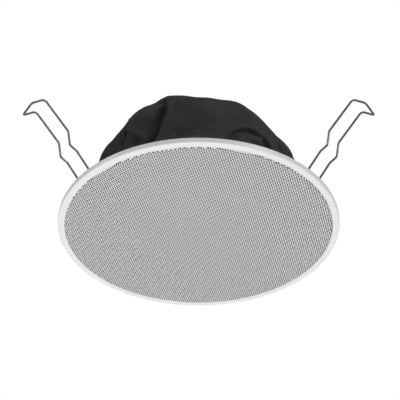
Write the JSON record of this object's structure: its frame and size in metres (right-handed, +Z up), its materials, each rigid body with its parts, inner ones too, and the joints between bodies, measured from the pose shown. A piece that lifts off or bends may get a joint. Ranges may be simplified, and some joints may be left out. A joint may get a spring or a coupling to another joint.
{
  "type": "in ceiling speaker",
  "caption": "Round in ceiling speaker: white panel with a punched net, cone driver and line transformer under a black cloth dust cover, held up by sprung wire clamps.",
  "frame": {"origin": "on the speaker's axis, on the plane where the panel's rim meets the underside of the ceiling", "axes": "+Z points up into the ceiling, so the net faces -Z; the clamps stand at 90, 210 and 330 degrees from +X towards +Y"},
  "size_m": [0.282, 0.2732, 0.1028],
  "materials": {
    "white_panel": "satin",
    "net_enamel": "satin",
    "scrim": "matte",
    "gasket_foam": "matte",
    "black_steel": "satin",
    "surround_rubber": "matte",
    "cone_paper": "matte",
    "cap_cloth": "matte",
    "former_paper": "matte",
    "copper_wire": "gloss",
    "spider_cloth": "matte",
    "zinc_plate": "satin",
    "ferrite": "matte",
    "zinc_screw": "gloss",
    "phenolic_board": "satin",
    "tag_brass": "gloss",
    "tinsel_braid": "satin",
    "core_laminations": "satin",
    "bobbin_nylon": "satin",
    "winding_tape": "gloss",
    "block_nylon": "satin",
    "lead_sleeve": "gloss",
    "cover_cloth": "matte",
    "elastic_cord": "matte",
    "spring_wire": "gloss"
  },
  "bodies": {
    "housing": {"panel_frame": "white_panel", "punched_net": "net_enamel", "scrim_cloth": "scrim", "driver_gasket": "gasket_foam", "basket": "black_steel", "surround": "surround_rubber", "spider": "spider_cloth", "top_plate": "zinc_plate", "magnet_ring": "ferrite", "yoke": "zinc_plate", "driver_screws": "zinc_screw", "tag_strip": "phenolic_board", "solder_tags": "tag_brass", "tinsel_leads": "tinsel_braid", "transformer_bracket": "zinc_plate", "transformer_core": "core_laminations", "transformer_bobbin": "bobbin_nylon", "transformer_winding": "winding_tape", "transformer_clamp": "zinc_plate", "transformer_screws": "zinc_screw", "terminal_block": "block_nylon", "terminal_screws": "zinc_screw", "lead_wires": "lead_sleeve", "dust_cover": "cover_cloth", "hem_cord": "elastic_cord", "bracket_rivets": "zinc_screw", "spring_coil_1": "spring_wire", "spring_coil_2": "spring_wire", "spring_coil_3": "spring_wire", "spring_bracket_1": "zinc_plate", "spring_bracket_2": "zinc_plate", "spring_bracket_3": "zinc_plate", "spring_pin_1": "zinc_screw", "spring_pin_2": "zinc_screw", "spring_pin_3": "zinc_screw"},
    "diaphragm": {"cone": "cone_paper", "dust_cap": "cap_cloth", "coil_former": "former_paper", "voice_coil": "copper_wire"},
    "clamp_1": {"spring_arm_1": "spring_wire"},
    "clamp_2": {"spring_arm_2": "spring_wire"},
    "clamp_3": {"spring_arm_3": "spring_wire"}
  },
  "joints": [
    {"name": "cone_travel", "type": "slide", "parent": "housing", "child": "diaphragm", "axis": [0, 0, 1], "range_m": [-0.0015, 0.0015], "stiffness_N_per_m": 1500, "deforming": ["surround", "spider", "tinsel_leads"]},
    {"name": "clamp_fold_1", "type": "hinge", "parent": "housing", "child": "clamp_1", "pos_m": [0, 0.09435, 0.0042], "axis": [1, 0, 0], "range_deg": [0, 48], "stiffness_Nm_per_rad": 0.5},
    {"name": "clamp_fold_2", "type": "hinge", "parent": "housing", "child": "clamp_2", "pos_m": [-0.08171, -0.04718, 0.0042], "axis": [-0.5, 0.866, 0], "range_deg": [0, 48], "stiffness_Nm_per_rad": 0.5},
    {"name": "clamp_fold_3", "type": "hinge", "parent": "housing", "child": "clamp_3", "pos_m": [0.08171, -0.04718, 0.0042], "axis": [-0.5, -0.866, 0], "range_deg": [0, 48], "stiffness_Nm_per_rad": 0.5}
  ]
}
